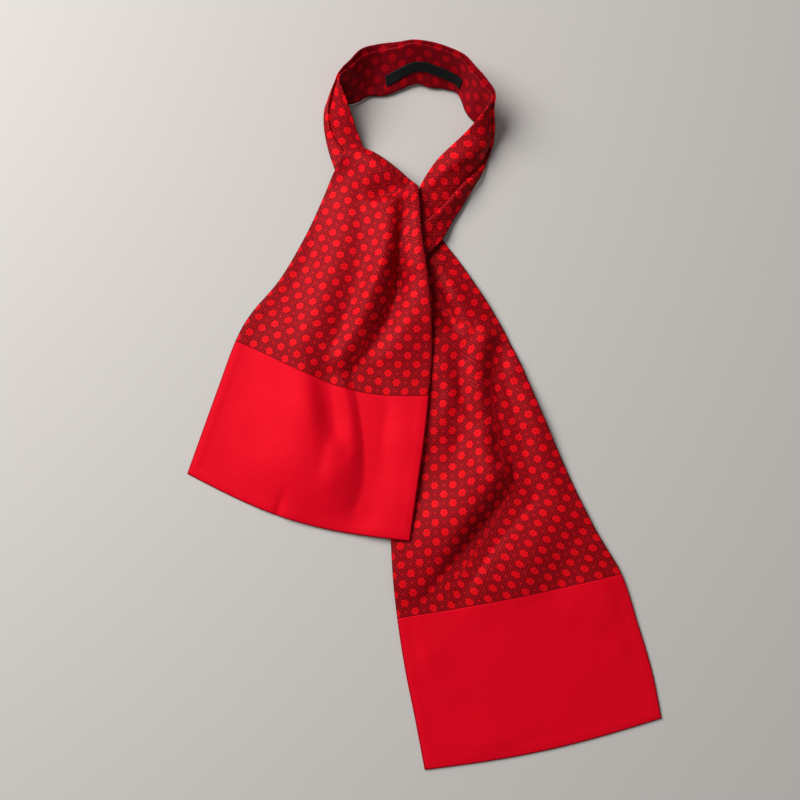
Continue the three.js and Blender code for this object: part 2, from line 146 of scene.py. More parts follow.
REAR_FOLDS = named_rows(
    FOLD_COLUMNS,
    ("upper ridge", 20, 98, 38, 64, 48, 42, 0.8, 2, 4.6, 7, 8),
    ("lower ridge", 48, 42, 43, 2, 51, -60, 4.4, 3.6, 6.8, 10, 8),
    ("diagonal ridge", 51, -60, 29, -90, -2, -134, 6.8, 9.2, 3.2, 24, 11),
    ("pocket beside the front blade", 3, 104, 12, 73, 23, 51, -1.6, -6.4, -3, 6, 8),
    ("fold over the pocket", 14, 93, 26, 73, 37, 50, 0.4, 3.4, 2.4, 9, 9),
    ("left ridge", 18, 20, 22, 0, 10, -32, 1, 1.5, 0.5, 6, 6),
    ("valley across the ridge", 28, 24, 31, 2, 43, -18, -1.4, -2.4, -2.4, 7, 7),
    ("left valley", 26, -20, 27, -32, 22, -48, -1, -2, -0.6, 6, 7),
    ("long valley", 56, 34, 60, -5, 73, -72, -2, -3, -3.4, 7, 8),
    ("diagonal trough", 72, -73, 47, -101, 14, -148, -4.5, -7, -4.2, 9, 9),
    ("right ridge", 70, 14, 83, -18, 100, -80, 1.5, 4.2, 2.4, 9, 12),
    ("ridge below the trough", 100, -88, 76, -118, 50, -140, 2.4, 3.6, 1.6, 16, 18),
    ("roll at the right edge", 118, -112, 128, -140, 138, -176, 1.4, 2.6, 0.6, 22, 12),
)

# Lesser creases, on the shells alone
FRONT_CREASES = named_rows(
    FOLD_COLUMNS,
    ("edge of the pleat", -15.5, 142, -18, 107, -22.5, 72, -0.6, -1.8, -0.8, 1.3, 5),
    ("dent at the hem", -97, -70, -100, -78, -103, -87, -0.3, -0.8, -1, 3, 4),
)
REAR_CREASES = named_rows(
    FOLD_COLUMNS,
    ("edge of the valley", 52, 38, 49.5, 2, 57, -48, -0.5, -0.8, -0.5, 2.5, 3.5),
    ("hollow beside the pocket", 17, 70, 23, 60, 30, 47, -0.8, -2.6, -1.2, 6, 7),
    ("swell at the hem", 12, -250, 55, -241, 98, -231, 0.6, 1.6, 0.6, 9, 18),
    ("swell at the left edge", 0, -168, 7, -188, 12, -208, 0.6, 1.6, 0.6, 8, 16),
)

# The front blade climbs onto the rear blade between these two places
SHELF_START_X = -62
SHELF_END_X = -25
SHELF_SLACK = 0.1
SHELF_HEIGHT = CLOTH_WALL + SEAM_GAP + SHELF_SLACK

# Neck band: from its left end under the front blade, round the back, to its right end
NECK_SECTIONS = table(
    ("top_x", "top_y", "top_z", "foot_x", "foot_y", "foot_z", "bulge", "outer_top"),
    (-36, 174, 4, -60, 163, 0, 0.5, 11),
    (-41.5, 186, 5, -66, 180, 0, 1, 14),
    (-46.5, 198, 10, -69, 195, 0, 2, 18),
    (-50, 208, 16, -70, 207, 0, 2.5, 19),
    (-54.5, 220, 22, -69, 217, 0.3, 2, 17),
    (-58, 228, 26, -66, 222, 1.2, 1.5, 9),
    (-58.5, 232, 27.5, -60, 222.5, 2.2, 1, 1),
    (-55, 236, 27.5, -53, 221, 2.8, 1, -2),
    (-49, 242, 25, -46, 223, 2.6, 1.5, -3.5),
    (-41, 251, 22, -37.5, 227.5, 2.8, 2, -4.5),
    (-29, 256, 19.5, -25, 228.5, 2.8, 2, -4.5),
    (-17, 256.5, 23, -14, 233, 2.8, 2, -3.5),
    (-5, 257.5, 28, -2, 237.5, 2.6, 0.5, -1.5),
    (8, 254.5, 28.5, 8, 234.5, 2.6, 1.5, -2.5),
    (20, 250.5, 28.5, 18, 233.5, 2.6, 1.5, -2.5),
    (31, 245, 28.5, 27, 231, 2.4, 1.5, -2.5),
    (38, 235.5, 28, 31, 225.5, 2.4, 1.5, -4),
    (46, 226, 28.5, 35, 214.5, 2.2, 1, -3.5),
    (52.5, 217, 28.5, 42, 206.5, 1.8, 2, -1),
    (49, 209.5, 27, 50, 201.5, 1.2, 3, 6),
    (43, 203, 22, 53.5, 194, 0.5, 4, 16),
    (34.5, 194.5, 16, 51, 184, 0.1, 5.5, 23),
    (23.5, 184.5, 12.5, 45, 170, 0.1, 6, 25),
    (13.5, 175, 10.5, 37.5, 155.5, 0.1, 5.5, 24),
    (5.8, 164.5, 9.5, 30, 141.5, 0.2, 4, 23),
    (-0.6, 153, 8, 22.5, 128.5, 0.6, 2, 20.5),
    (-4, 142, 7.4, 15.5, 114.5, 3, 1, 15),
    (-9, 132, 5.6, 3, 101, 3.2, 0.3, 10),
)

# Last section of the band, and the step that finds its direction
NECK_END = 27
NECK_SLOPE_STEP = 0.1

# Label on the inner face at the back, by sections and shares of the way down
LABEL_FROM = 10.1
LABEL_TO = 15.4
LABEL_HEIGHT = 8
LABEL_MIDDLE_DOWN = 0.52
LABEL_ENDS_DOWN = 0.70

# Hidden layers of the knot, with the share of the height at their edges, and the plies and their relief
CORE_SECTIONS = table(
    ("upper_x", "upper_y", "lower_x", "lower_y", "height"),
    (-36.5, 173.2, -60, 162.3, 3),
    (-28, 167, -55, 149, 4.5),
    (-16, 157, -45, 134, 5.5),
    (-3, 144, -30, 122, 5),
    (12.7, 129.4, -11.1, 125.4, 1.6),
)
CORE_EDGE_SHARE = 0.4
CORE_PLIES = 4
CORE_PLY_RELIEF = 0.25

# Soft waves of the cloth: height, shortest and longest wave, number of waves added up
WAVE_HEIGHT = 0.35
WAVE_SHORT = 18
WAVE_LONG = 60
WAVE_COUNT = 14
FRONT_WAVE_SEED = 11
REAR_WAVE_SEED = 12
NECK_WAVE_SEED = 13
NECK_WAVE_HEIGHT = 0.3

# Soft crease down the right strand: its share of the way down and its height, by section, and its
# widths towards the upper edge and towards the foot
STRAND_CREASE = table(
    ("place", "share", "height"),
    (19.8, 0.9, 0), (21, 0.66, 1.6), (22, 0.44, 2.0), (23, 0.32, 1.8), (24.4, 0.2, 0.9), (25.5, 0.1, 0),
)
CREASE_GENTLE = 7
CREASE_STEEP = 3

# The edge of the outer ply is a soft roll on the right strand: its height, by section, and how far in
# it is highest
EDGE_ROLL = table(("place", "height"), (21.4, 0), (22.4, 1.9), (25.4, 2.2), (27, 0.6))
EDGE_ROLL_REACH = 2.4

# Shift of the print along the neck band
NECK_PRINT_SHIFT = 5

# Turned-in edge inside a hem: its distance from the edge, half its width, its height
HEM_INSET = 4.5
HEM_SPREAD = 3.0
HEM_HEIGHT = 0.22

# The print breaks along the edge of a pleat that hides part of the width: the line of the break,
# and half of the width over which a hidden part of the width is taken up
FRONT_BREAK = table(
    ("y", "x"),
    (8, -62), (22, -50), (45, -36), (63, -25), (82, -21), (107, -19), (150, -16),
)
REAR_BREAK = table(
    ("y", "x"),
    (-150, 12), (-124, 31), (-100, 47), (-80, 59), (-66, 63),
    (-48, 58), (2, 51), (38, 53), (64, 17), (84, 11),
)
TAKEN_UP = table(("hidden", "band"), (0, 24), (4, 16), (8, 0.8))

# Beyond the break the print turns with the right edge: the hidden width where the turn begins, and
# the further width that makes it full
UNTURNED = 14
FULL_TURN = 36


def smooth_step(share):
    held = np.clip(share, 0, 1)
    return held * held * (3 - 2 * held)


def column_at(rows, column, place):
    """Value of a column at a fractional row, on a smooth curve through the rows."""
    values = rows[column]
    last = len(values) - 1
    held = np.clip(place, 0, last)
    row = np.minimum(last - 1, np.floor(held).astype(int))
    part = held - row
    before = values[np.maximum(0, row - 1)]
    start = values[row]
    end = values[row + 1]
    after = values[np.minimum(last, row + 2)]
    slope = (end - before) / 2
    bend = before - 2.5 * start + 2 * end - 0.5 * after
    twist = 1.5 * (start - end) + (after - before) / 2
    return start + part * (slope + part * (bend + part * twist))


def fold_curve(fold):
    """Points of the curve through the three points of a fold."""
    share = np.linspace(0, 1, FOLD_SAMPLES + 1)
    rest = 1 - share
    bend_x = 2 * fold["via_x"] - (fold["from_x"] + fold["to_x"]) / 2
    bend_y = 2 * fold["via_y"] - (fold["from_y"] + fold["to_y"]) / 2
    x = rest * rest * fold["from_x"] + 2 * rest * share * bend_x + share * share * fold["to_x"]
    y = rest * rest * fold["from_y"] + 2 * rest * share * bend_y + share * share * fold["to_y"]
    return x, y


def nearest_on_fold(fold, x, y):
    """Distance to the curve of a fold, the share of its length there, and the side.

    The side runs from -1 on the right hand to 1 on the left hand, and is 0 straight ahead of an end.
    """
    curve_x, curve_y = fold_curve(fold)
    nearest = np.full(np.shape(x), np.inf)
    nearest_share = np.zeros(np.shape(x))
    side = np.zeros(np.shape(x))
    for i in range(FOLD_SAMPLES):
        run_x = curve_x[i + 1] - curve_x[i]
        run_y = curve_y[i + 1] - curve_y[i]
        dot = (x - curve_x[i]) * run_x + (y - curve_y[i]) * run_y
        part = np.clip(dot / (run_x * run_x + run_y * run_y), 0, 1)
        away_x = x - curve_x[i] - part * run_x
        away_y = y - curve_y[i] - part * run_y
        away = np.hypot(away_x, away_y)
        closer = away < nearest
        nearest = np.where(closer, away, nearest)
        nearest_share = np.where(closer, (i + part) / FOLD_SAMPLES, nearest_share)
        reach = np.maximum(away * math.hypot(run_x, run_y), SMALL)
        side = np.where(closer, (run_x * away_y - run_y * away_x) / reach, side)
    return nearest, nearest_share, side


def one_fold_height(fold, x, y):
    nearest, share, side = nearest_on_fold(fold, x, y)
    width = fold["left_width"] + (fold["right_width"] - fold["left_width"]) * (1 + side) / 2
    nearer_end = np.where(share < 0.5, fold["height_from"], fold["height_to"])
    middle = fold["height_via"]
    height = middle + (nearer_end - middle) * smooth_step(np.abs(2 * share - 1))
    return height * np.exp(-((nearest / width) ** 2))


def fold_height(folds, x, y):
    """The highest ridge and the deepest trough at a place, added up, each with soft changes."""
    ridges = 0
    troughs = 0
    for fold in folds:
        height = one_fold_height(fold, x, y)
        ridges = ridges + np.maximum(height, 0) ** FOLD_BLEND
        troughs = troughs + np.maximum(-height, 0) ** FOLD_BLEND
    return ridges ** (1 / FOLD_BLEND) - troughs ** (1 / FOLD_BLEND)


def settled(lift):
    """Height above the floor of cloth that would hang at lift, with a soft landing."""
    held = np.maximum(0, lift)
    return np.where(held < LANDING, held * held / (2 * LANDING), held - LANDING / 2)


def soft_waves(x, y, seed, height):
    """Sum of a few long waves in all directions, the same for each run."""
    chance = np.random.default_rng(seed)
    total = np.zeros(np.shape(x))
    for _ in range(WAVE_COUNT):
        length = chance.uniform(WAVE_SHORT, WAVE_LONG)
        angle = chance.uniform(0, 2 * math.pi)
        phase = chance.uniform(0, 2 * math.pi)
        run = x * math.cos(angle) + y * math.sin(angle)
        total = total + length / WAVE_LONG * np.sin(2 * math.pi * run / length + phase)
    return height * total / math.sqrt(WAVE_COUNT)


def lift_at(rows, place, across):
    left = column_at(rows, "lift_left", place)
    middle = column_at(rows, "lift_mid", place)
    right = column_at(rows, "lift_right", place)
    on_left = left + (middle - left) * smooth_step(2 * across)
    on_right = middle + (right - middle) * smooth_step(2 * across - 1)
    return np.where(across < 0.5, on_left, on_right)


def blade_surface(blade, place, across):
    """Underside of a blade at fractional sections and shares of its width."""
    rows = blade["sections"]
    left_x = column_at(rows, "left_x", place)
    left_y = column_at(rows, "left_y", place)
    run_x = column_at(rows, "right_x", place) - left_x
    run_y = column_at(rows, "right_y", place) - left_y
    width = np.hypot(run_x, run_y)
    skewed = np.clip(across, 0, 1) ** column_at(rows, "skew", place)
    bow = column_at(rows, "bow", place) * np.sin(math.pi * skewed)
    x = left_x + across * run_x + bow * run_y / width
    y = left_y + across * run_y - bow * run_x / width
    floor = blade["shelf"] * smooth_step((x - SHELF_START_X) / (SHELF_END_X - SHELF_START_X))
    lift = lift_at(rows, place, across) + fold_height(blade["folds"], x, y)
    lift = lift + fold_height(blade["creases"], x, y) + soft_waves(x, y, blade["seed"], WAVE_HEIGHT)
    return np.stack([x, y, floor + settled(lift)], axis=-1)


def neck_edge(edge, place):
    return np.stack([column_at(NECK_SECTIONS, f"{edge}_{axis}", place) for axis in "xyz"], axis=-1)


def neck_surface(place, down):
    """Inner face of the neck band at fractional sections and shares of the way down."""
    top = neck_edge("top", place)
    foot = neck_edge("foot", place)
    ahead = neck_edge("top", place + NECK_SLOPE_STEP) + neck_edge("foot", place + NECK_SLOPE_STEP)
    behind = neck_edge("top", place - NECK_SLOPE_STEP) + neck_edge("foot", place - NECK_SLOPE_STEP)
    run = (ahead - behind) * np.array([1, 1, 0])
    out = np.cross(run, foot - top)
    out = out / np.linalg.norm(out, axis=-1, keepdims=True)
    bulge = column_at(NECK_SECTIONS, "bulge", place) * np.sin(math.pi * np.clip(down, 0, 1))
    return top + (foot - top) * down[..., None] + out * bulge[..., None]


def whole_ply(place):
    """Distance of the inner ply's edge from the top of the band."""
    return np.zeros_like(place)


def outer_ply(place):
    """Distance of the outer ply's edge from the top of the band."""
    return column_at(NECK_SECTIONS, "outer_top", place)


def neck_width(place):
    return np.linalg.norm(neck_edge("foot", place) - neck_edge("top", place), axis=-1)


def run_lengths(points, axis):
    """Length of cloth from the first row or column of a grid to each of its points."""
    steps = np.linalg.norm(np.diff(points, axis=axis), axis=-1)
    start = np.zeros_like(np.take(steps, [0], axis=axis))
    return np.concatenate([start, np.cumsum(steps, axis=axis)], axis=axis)


def spaced(length, cells):
    """Distances from 0 to length in so many cells, with close rows on both rounded edges."""
    close = EDGE_RADIUS * EDGE_SHARES
    inner = EDGE_RADIUS + (length - 2 * EDGE_RADIUS) * np.linspace(0, 1, cells + 1)
    first = close + np.zeros_like(length)
    return np.concatenate([first, inner, length - first[..., ::-1]], axis=-1)


def even_places(middle_at, start, end, cell):
    """Fractional sections at even lengths of cloth from start to end, and these lengths."""
    fine = np.linspace(start, end, MEASURED_PLACES)
    lengths = run_lengths(middle_at(fine), 0)
    down = spaced(lengths[-1], round(lengths[-1] / cell))
    return np.interp(down, lengths, fine), down


def edge_fullness(distance):
    """Share of the wall's thickness at a distance from a rounded edge."""
    part = 1 - np.clip(distance / EDGE_RADIUS, 0, 1)
    return np.maximum(RIM_FULLNESS, np.sqrt(1 - part * part))


def seam_fullness(distance):
    """Share of the wall's thickness at a distance from a sewn edge."""
    part = 1 - np.clip(distance / EDGE_RADIUS, 0, 1)
    return 1 - SEAM_DIP * part * part


def hem_relief(distance):
    return HEM_HEIGHT * np.exp(-(((distance - HEM_INSET) / HEM_SPREAD) ** 2))


def normals_of(points):
    ahead = np.gradient(points, axis=0)
    aside = np.gradient(points, axis=1)
    out = np.cross(ahead, aside)
    return out / np.linalg.norm(out, axis=-1, keepdims=True)


def add_shell(name, lower, upper, chart, from_rim, material, reverse=None):
    """Closed shell between two grids in millimetres, with a chart of cloth lengths.

    from_rim is the distance from the bagged-out edge, where the finish paints shade. The lower grid can
    have a finish of its own, the reverse of the cloth.
    """
    rows, columns = lower.shape[:2]
    points = np.concatenate([lower.reshape(-1, 3), upper.reshape(-1, 3)]) * MM
    low = np.arange(rows * columns).reshape(rows, columns)
    high = low + rows * columns

    def quads(a, b, c, d):
        return np.stack([a, b, c, d], axis=-1).reshape(-1, 4)

    faces = np.concatenate([
        quads(low[:-1, :-1], low[:-1, 1:], low[1:, 1:], low[1:, :-1]),
        quads(high[:-1, :-1], high[1:, :-1], high[1:, 1:], high[:-1, 1:]),
        quads(low[:-1, 0], low[1:, 0], high[1:, 0], high[:-1, 0]),
        quads(low[1:, -1], low[:-1, -1], high[:-1, -1], high[1:, -1]),
        quads(low[0, 1:], low[0, :-1], high[0, :-1], high[0, 1:]),
        quads(low[-1, :-1], low[-1, 1:], high[-1, 1:], high[-1, :-1]),
    ])
    mesh = bpy.data.meshes.new(name)
    mesh.from_pydata(points.tolist(), [], faces.tolist())
    mesh.polygons.foreach_set("use_smooth", np.ones(len(faces), bool))
    charted = np.concatenate([chart.reshape(-1, 2)] * 2) * MM
    layer = mesh.uv_layers.new(name="cloth")
    layer.data.foreach_set("uv", charted[faces.reshape(-1)].reshape(-1))
    rim = mesh.attributes.new("rim", "FLOAT", "POINT")
    rim.data.foreach_set("value", np.tile(np.broadcast_to(from_rim, (rows, columns)).reshape(-1), 2))
    mesh.materials.append(material)
    if reverse:
        mesh.materials.append(reverse)
        on_lower = np.arange(len(faces)) < (rows - 1) * (columns - 1)
        mesh.polygons.foreach_set("material_index", on_lower.astype(np.int32))
    mesh.update()
    shell = bpy.data.objects.new(name, mesh)
    bpy.context.scene.collection.objects.link(shell)
    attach(shell, "root")
    return shell


def pleat_chart(points, blade):
    """Chart of a printed panel, with the hidden part taken up in the pleat.

    Beyond the pleat the print turns with the right edge as more of the width is hidden.
    """
    across = run_lengths(points, 1)
    along = run_lengths(points, 0)
    hidden = np.maximum(0, across[-1, -1] - across[:, -1:])
    away = np.abs(points[..., 0] - np.interp(points[..., 1], blade["break"]["y"], blade["break"]["x"]))
    crease = np.take_along_axis(across, np.argmin(away, axis=1)[:, None], axis=1)
    band = np.interp(hidden, TAKEN_UP["hidden"], TAKEN_UP["band"])
    beyond = smooth_step((across - crease + band) / (2 * band))
    edge = np.gradient(points[:, -1], axis=0)
    row = points[:, -1] - points[:, 0]
    lengths = np.linalg.norm(edge, axis=1) * np.linalg.norm(row, axis=1)
    slant = (np.sum(edge * row, axis=1) / lengths)[:, None]
    turned = beyond * np.clip((hidden - UNTURNED) / FULL_TURN, 0, 1) * (across[:, -1:] - across)
    widths = across + hidden * beyond + turned * (1 - np.sqrt(1 - slant * slant))
    return np.stack([widths, along[-1:] - along + turned * slant], axis=-1)


def plain_chart(points):
    return np.stack([run_lengths(points, 1), -run_lengths(points, 0)], axis=-1)


def add_blade(name, blade, start, end, material):
    """Panel of a blade from one section to another. It is sewn where it meets the seam."""
    rows = blade["sections"]
    place, down = even_places(
        lambda fine: blade_surface(blade, fine, np.full_like(fine, 0.5)), start, end, BLADE_CELL,
    )
    run_x = column_at(rows, "right_x", place) - column_at(rows, "left_x", place)
    run_y = column_at(rows, "right_y", place) - column_at(rows, "left_y", place)
    width = np.hypot(run_x, run_y)[:, None]
    side = spaced(width, round(width.max() / BLADE_CELL))
    points = blade_surface(blade, place[:, None], side / width)
    from_side = np.minimum(side, width - side)
    from_start = down[:, None]
    from_end = down[-1] - down[:, None]
    printed = end == blade["seam"]
    free, sewn = (from_start, from_end) if printed else (from_end, from_start)
    fullness = edge_fullness(from_side) * edge_fullness(free) * seam_fullness(sewn)
    relief = hem_relief(np.minimum(from_side, free)) * fullness
    normals = normals_of(points)
    half = CLOTH_WALL / 2
    lower = points + normals * (half * (1 - fullness))[..., None]
    upper = points + normals * (half * (1 + fullness) + relief)[..., None]
    lower[..., 2] = np.maximum(lower[..., 2], 0)
    chart = pleat_chart(points, blade) if printed else plain_chart(points)
    # Painted edge shade along the sides and the free end, not at the seam
    return add_shell(name, lower, upper, chart, np.minimum(from_side, free), material)


def strand_crease(place, down, width):
    """Height of the soft crease down the right strand."""
    share = np.interp(place, STRAND_CREASE["place"], STRAND_CREASE["share"])[:, None]
    height = np.interp(place, STRAND_CREASE["place"], STRAND_CREASE["height"])[:, None]
    below = (down - share) * width[:, None]
    return height * np.exp(-((below / np.where(below > 0, CREASE_STEEP, CREASE_GENTLE)) ** 2))


def edge_roll(place, side):
    """Height of the rolled edge of the outer ply on the right strand."""
    height = np.interp(place, EDGE_ROLL["place"], EDGE_ROLL["height"])[:, None]
    part = side / EDGE_ROLL_REACH
    return height * part * np.exp(1 - part)


def add_neck_ply(name, near, top_at, material, reverse=None):
    """One ply of the neck band, from its upper edge to its foot, moved out by near."""
    def middle_at(fine):
        return neck_surface(fine, np.full_like(fine, 0.5))

    place, along = even_places(middle_at, 0, NECK_END, NECK_CELL)
    width = neck_width(place)
    start = top_at(place) / width
    height = ((1 - start) * width)[:, None]
    side = spaced(height, round(height.max() / NECK_CELL))
    down = start[:, None] + side / width[:, None]
    points = neck_surface(np.broadcast_to(place[:, None], down.shape), down)
    normals = normals_of(points)
    waves = soft_waves(along[:, None], down * width[:, None], NECK_WAVE_SEED, NECK_WAVE_HEIGHT)
    fullness = edge_fullness(np.minimum(side, height - side))
    ends = np.minimum(along, along[-1] - along)[:, None]
    fullness = fullness * edge_fullness(ends)
    half = CLOTH_WALL / 2
    relief = edge_roll(place, side) if near else strand_crease(place, down, width)
    centre = points + normals * (near + half + waves + relief)[..., None]
    lower = centre - normals * (half * fullness)[..., None]
    upper = centre + normals * (half * fullness)[..., None]
    for grid in (lower, upper):
        grid[..., 2] = np.maximum(grid[..., 2], 0)
    lengthwise = np.broadcast_to(NECK_PRINT_SHIFT + along[:, None], down.shape)
    chart = np.stack([down * width[:, None], lengthwise], axis=-1)
    # The distance from the foot carries the painted edge shade, so only the foot of the band is darkened
    return add_shell(name, lower, upper, chart, height - side, material, reverse)


def add_label(name, material):
    """Ribbon on the inner face of the neck band, bent at its middle."""
    def middle_at(fine):
        return neck_surface(fine, np.full_like(fine, LABEL_MIDDLE_DOWN))

    place, along = even_places(middle_at, LABEL_FROM, LABEL_TO, LABEL_CELL)
    share = (place - LABEL_FROM) / (LABEL_TO - LABEL_FROM)
    middle = LABEL_MIDDLE_DOWN + (LABEL_ENDS_DOWN - LABEL_MIDDLE_DOWN) * np.abs(2 * share - 1)
    height = np.full((len(place), 1), float(LABEL_HEIGHT))
    side = spaced(height, round(LABEL_HEIGHT / LABEL_CELL))
    width = neck_width(place)[:, None]
    down = middle[:, None] + (side - LABEL_HEIGHT / 2) / width
    points = neck_surface(np.broadcast_to(place[:, None], down.shape), down)
    normals = normals_of(points)
    waves = soft_waves(along[:, None], down * width, NECK_WAVE_SEED, NECK_WAVE_HEIGHT)
    ends = np.minimum(along, along[-1] - along)[:, None]
    fullness = edge_fullness(np.minimum(side, height - side)) * edge_fullness(ends)
    half = LABEL_WALL / 2
    centre = points + normals * (waves - SEAM_GAP - half)[..., None]
    lower = centre - normals * (half * fullness)[..., None]
    upper = centre + normals * (half * fullness)[..., None]
    chart = np.stack([side, run_lengths(points, 0)], axis=-1)
    return add_shell(name, lower, upper, chart, np.minimum(side, height - side), material)


def add_core(name, material):
    """Hidden layers of the knot: a rounded bundle with the edges of its plies along it."""
    last = len(CORE_SECTIONS["height"]) - 1

    def plan_at(place, across):
        upper_x = column_at(CORE_SECTIONS, "upper_x", place)
        upper_y = column_at(CORE_SECTIONS, "upper_y", place)
        x = upper_x + across * (column_at(CORE_SECTIONS, "lower_x", place) - upper_x)
        y = upper_y + across * (column_at(CORE_SECTIONS, "lower_y", place) - upper_y)
        return np.stack([x, y, np.zeros_like(x)], axis=-1)

    place, _ = even_places(lambda fine: plan_at(fine, 0.5), 0, last, CORE_CELL)
    width = np.linalg.norm(plan_at(place, 1.0) - plan_at(place, 0.0), axis=-1)[:, None]
    side = spaced(width, round(width.max() / CORE_CELL))
    across = side / width
    lower = plan_at(place[:, None], across)
    rise = CORE_EDGE_SHARE + (1 - CORE_EDGE_SHARE) * np.sin(math.pi * across)
    plies = CORE_PLY_RELIEF * np.cos(2 * math.pi * CORE_PLIES * across)
    upper = lower.copy()
    upper[..., 2] = column_at(CORE_SECTIONS, "height", place)[:, None] * rise + plies - CORE_PLY_RELIEF
    chart = np.stack([run_lengths(lower, 1), run_lengths(lower, 0)], axis=-1)
    return add_shell(name, lower, upper, chart, np.minimum(side, width - side), material)


# Painted shade along the bagged-out edges, a dark outline standing for the contact shadow at the cloth's
# edge:
# its factor on the colour, and the distances where it is full and where it ends
RIM_PAINTED_SHADE = 0.45
RIM_DARK = 0.35
RIM_CLEAR = 1.5


class Look:
    """Node tree of one material, built up step by step."""

    def __init__(self, name):
        self.material = bpy.data.materials.new(name)
        self.material.use_nodes = True
        self.tree = self.material.node_tree
        self.surface = self.tree.nodes["Principled BSDF"]

    def put(self, socket, value):
        if isinstance(value, bpy.types.NodeSocket):
            self.tree.links.new(value, socket)
        else:
            socket.default_value = value

    def step(self, operation, *values):
        node = self.tree.nodes.new("ShaderNodeMath")
        node.operation = operation
        for socket, value in zip(node.inputs, values):
            self.put(socket, value)
        return node.outputs[0]

    def ramp(self, value, low, high):
        """0 below low and 1 above high, with a soft change between them."""
        node = self.tree.nodes.new("ShaderNodeMapRange")
        node.interpolation_type = "SMOOTHSTEP"
        self.put(node.inputs["Value"], value)
        self.put(node.inputs["From Min"], low)
        self.put(node.inputs["From Max"], high)
        return node.outputs["Result"]

    def spread(self, value, low, high):
        """Value from 0 to 1 spread from low to high."""
        node = self.tree.nodes.new("ShaderNodeMapRange")
        self.put(node.inputs["Value"], value)
        self.put(node.inputs["To Min"], low)
        self.put(node.inputs["To Max"], high)
        return node.outputs["Result"]

    def mix(self, share, first, second):
        node = self.tree.nodes.new("ShaderNodeMix")
        node.data_type = "RGBA"
        self.put(node.inputs["Factor"], share)
        self.put(node.inputs["A"], first)
        self.put(node.inputs["B"], second)
        return node.outputs["Result"]

    def chart(self):
        """Cloth lengths across and along, in millimetres."""
        node = self.tree.nodes.new("ShaderNodeUVMap")
        node.uv_map = "cloth"
        split = self.tree.nodes.new("ShaderNodeSeparateXYZ")
        self.put(split.inputs[0], node.outputs[0])
        across = self.step("DIVIDE", split.outputs["X"], MM)
        along = self.step("DIVIDE", split.outputs["Y"], MM)
        return across, along

    def painted_rim_shade(self, shade):
        """Painted shade at the bagged-out edge: a colour factor from the given shade up to 1 inside it."""
        node = self.tree.nodes.new("ShaderNodeAttribute")
        node.attribute_name = "rim"
        return self.spread(self.ramp(node.outputs["Fac"], RIM_DARK, RIM_CLEAR), shade, 1.0)

    # Multiplies a colour by a factor; it lays the painted shade on the edges
    def with_painted_shade(self, shade, first):
        node = self.tree.nodes.new("ShaderNodeMix")
        node.data_type = "RGBA"
        node.blend_type = "MULTIPLY"
        self.put(node.inputs["Factor"], 1.0)
        self.put(node.inputs["A"], first)
        self.put(node.inputs["B"], shade)
        return node.outputs["Result"]

    def noise(self, across, along, size, detail):
        place = self.tree.nodes.new("ShaderNodeCombineXYZ")
        self.put(place.inputs["X"], across)
        self.put(place.inputs["Y"], along)
        node = self.tree.nodes.new("ShaderNodeTexNoise")
        self.put(node.inputs["Vector"], place.outputs[0])
        self.put(node.inputs["Scale"], 1 / size)
        self.put(node.inputs["Detail"], detail)
        return node.outputs["Fac"]

    def wave(self, value, length):
        """Wave from 0 to 1 of a given length."""
        turn = self.step("MULTIPLY", value, 2 * math.pi / length)
        return self.step("MULTIPLY_ADD", self.step("SINE", turn), 0.5, 0.5)

    def bump(self, height, strength, distance):
        node = self.tree.nodes.new("ShaderNodeBump")
        self.put(node.inputs["Height"], height)
        self.put(node.inputs["Strength"], strength)
        self.put(node.inputs["Distance"], distance)
        self.put(self.surface.inputs["Normal"], node.outputs[0])


def colour(red, green, blue):
    """Linear colour from one given in shares of 255, by the usual curve of screens."""
    def linear(value):
        share = value / 255
        return share / 12.92 if share <= 0.04045 else ((share + 0.055) / 1.055) ** 2.4

    return (linear(red), linear(green), linear(blue), 1)


# Colours of the silk and the ribbon
MOTIF_RED = colour(228, 10, 24)
MOTIF_EYE = colour(150, 8, 18)
PIN_RED = colour(205, 16, 28)
GROUND_LINE = colour(176, 16, 26)
GROUND_DARK = colour(106, 4, 12)
REVERSE_RED = colour(180, 6, 22)
REVERSE_EYE = colour(151, 5, 19)
REVERSE_PIN = colour(153, 6, 20)
REVERSE_LINE = colour(138, 7, 21)
REVERSE_DARK = colour(120, 5, 18)
PLAIN_RED = colour(244, 8, 38)
PLAIN_DEEP = colour(208, 2, 23)
RIBBON_BLACK = colour(8, 8, 9)
RIBBON_GREY = colour(19, 19, 21)

# Print of six-petal florets on a square lattice turned by 45 degrees, with pin dots between them,
# on a ground of fine crossing lines
LATTICE = 9.4
ROW_SHIFT = LATTICE / math.sqrt(2) / 2
PETALS = 6
PETAL_NOTCH = 2.2
PETAL_REACH = 0.9
EYE_RADIUS = 0.45
PIN_RADIUS = 0.7
PRINT_BLUR = 0.2
OUTLINE = 0.5
TRELLIS = 2.5
LINE_SHARE = 0.3
LINE_BLUR = 0.1

# Weave of the silk: length of a rib, size and detail of the uneven yarns, strength of the relief and
# its depth in metres
TWILL = 0.6
YARN_SIZE = 0.8
YARN_DETAIL = 2.0
WEAVE_STRENGTH = 0.25
WEAVE_DEPTH = 0.00012

# Gloss of the silk, with the size and detail of its uneven places
SILK_LUSTRE = 0.1
SILK_SPECULAR = 0.05
SILK_SHEEN = 0.03
SHEEN_ROUGHNESS = 0.4
SHEEN_TINT = (1.0, 0.25, 0.28, 1)
GLOSS_SIZE = 9.0
GLOSS_DETAIL = 3.0
PRINT_ROUGHNESS = (0.42, 0.58)
PLAIN_ROUGHNESS = (0.46, 0.6)

# Grain of the plain ends: size and detail of the uneven red, and the share of it that the ribs have
GRAIN_SIZE = 1.6
GRAIN_DETAIL = 4.0
RIB_SHARE = 0.35

